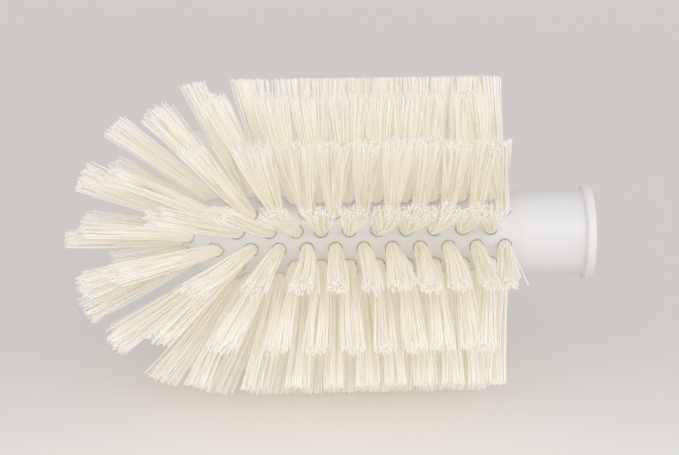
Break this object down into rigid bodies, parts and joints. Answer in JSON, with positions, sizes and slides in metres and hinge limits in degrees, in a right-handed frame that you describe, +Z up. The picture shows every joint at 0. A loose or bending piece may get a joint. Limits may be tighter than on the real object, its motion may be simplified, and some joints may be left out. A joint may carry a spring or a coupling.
{
  "type": "tube cleaning brush head",
  "caption": "Full-round cylindrical brush head with cream bristle tufts, domed tufted end, plain neck and flanged threaded socket for a screw-in handle.",
  "frame": {"origin": "centre of the bounding box at its base, where two lengthwise rows of bristle tips rest on the ground", "axes": "+X along the brush axis towards the flanged socket end, +Z up, -Y the side seen from the front"},
  "size_m": [0.1708, 0.103, 0.1019],
  "materials": {
    "core": "satin white polypropylene",
    "bristle": "cream polyester filament",
    "anchor": "flat drawn stainless wire"
  },
  "bodies": {
    "root": {"core": "core", "tuft_row_00": "bristle", "tuft_row_01": "bristle", "tuft_row_02": "bristle", "tuft_row_03": "bristle", "tuft_row_04": "bristle", "tuft_row_05": "bristle", "tuft_row_06": "bristle", "tuft_row_07": "bristle", "tuft_row_08": "bristle", "tuft_row_09": "bristle", "tuft_row_10": "bristle", "tuft_row_11": "bristle", "tuft_row_12": "bristle", "tuft_row_13": "bristle", "nose_tuft_00_1": "bristle", "nose_tuft_00_2": "bristle", "nose_tuft_01_1": "bristle", "nose_tuft_01_2": "bristle", "nose_tuft_02_1": "bristle", "nose_tuft_02_2": "bristle", "nose_tuft_03_1": "bristle", "nose_tuft_03_2": "bristle", "nose_tuft_04_1": "bristle", "nose_tuft_04_2": "bristle", "nose_tuft_05_1": "bristle", "nose_tuft_05_2": "bristle", "nose_tuft_06_1": "bristle", "nose_tuft_06_2": "bristle", "nose_tuft_07_1": "bristle", "nose_tuft_07_2": "bristle", "nose_tuft_08_1": "bristle", "nose_tuft_08_2": "bristle", "nose_tuft_09_1": "bristle", "nose_tuft_09_2": "bristle", "nose_tuft_10_1": "bristle", "nose_tuft_10_2": "bristle", "nose_tuft_11_1": "bristle", "nose_tuft_11_2": "bristle", "nose_tuft_12_1": "bristle", "nose_tuft_12_2": "bristle", "nose_tuft_13_1": "bristle", "nose_tuft_13_2": "bristle", "end_ring_tuft_01": "bristle", "end_ring_tuft_03": "bristle", "end_ring_tuft_05": "bristle", "end_ring_tuft_07": "bristle", "end_ring_tuft_09": "bristle", "end_ring_tuft_11": "bristle", "end_ring_tuft_13": "bristle", "apex_tuft": "bristle", "end_ring_anchor_01": "anchor", "end_ring_anchor_03": "anchor", "end_ring_anchor_05": "anchor", "end_ring_anchor_07": "anchor", "end_ring_anchor_09": "anchor", "end_ring_anchor_11": "anchor", "end_ring_anchor_13": "anchor", "apex_anchor": "anchor"}
  },
  "joints": []
}
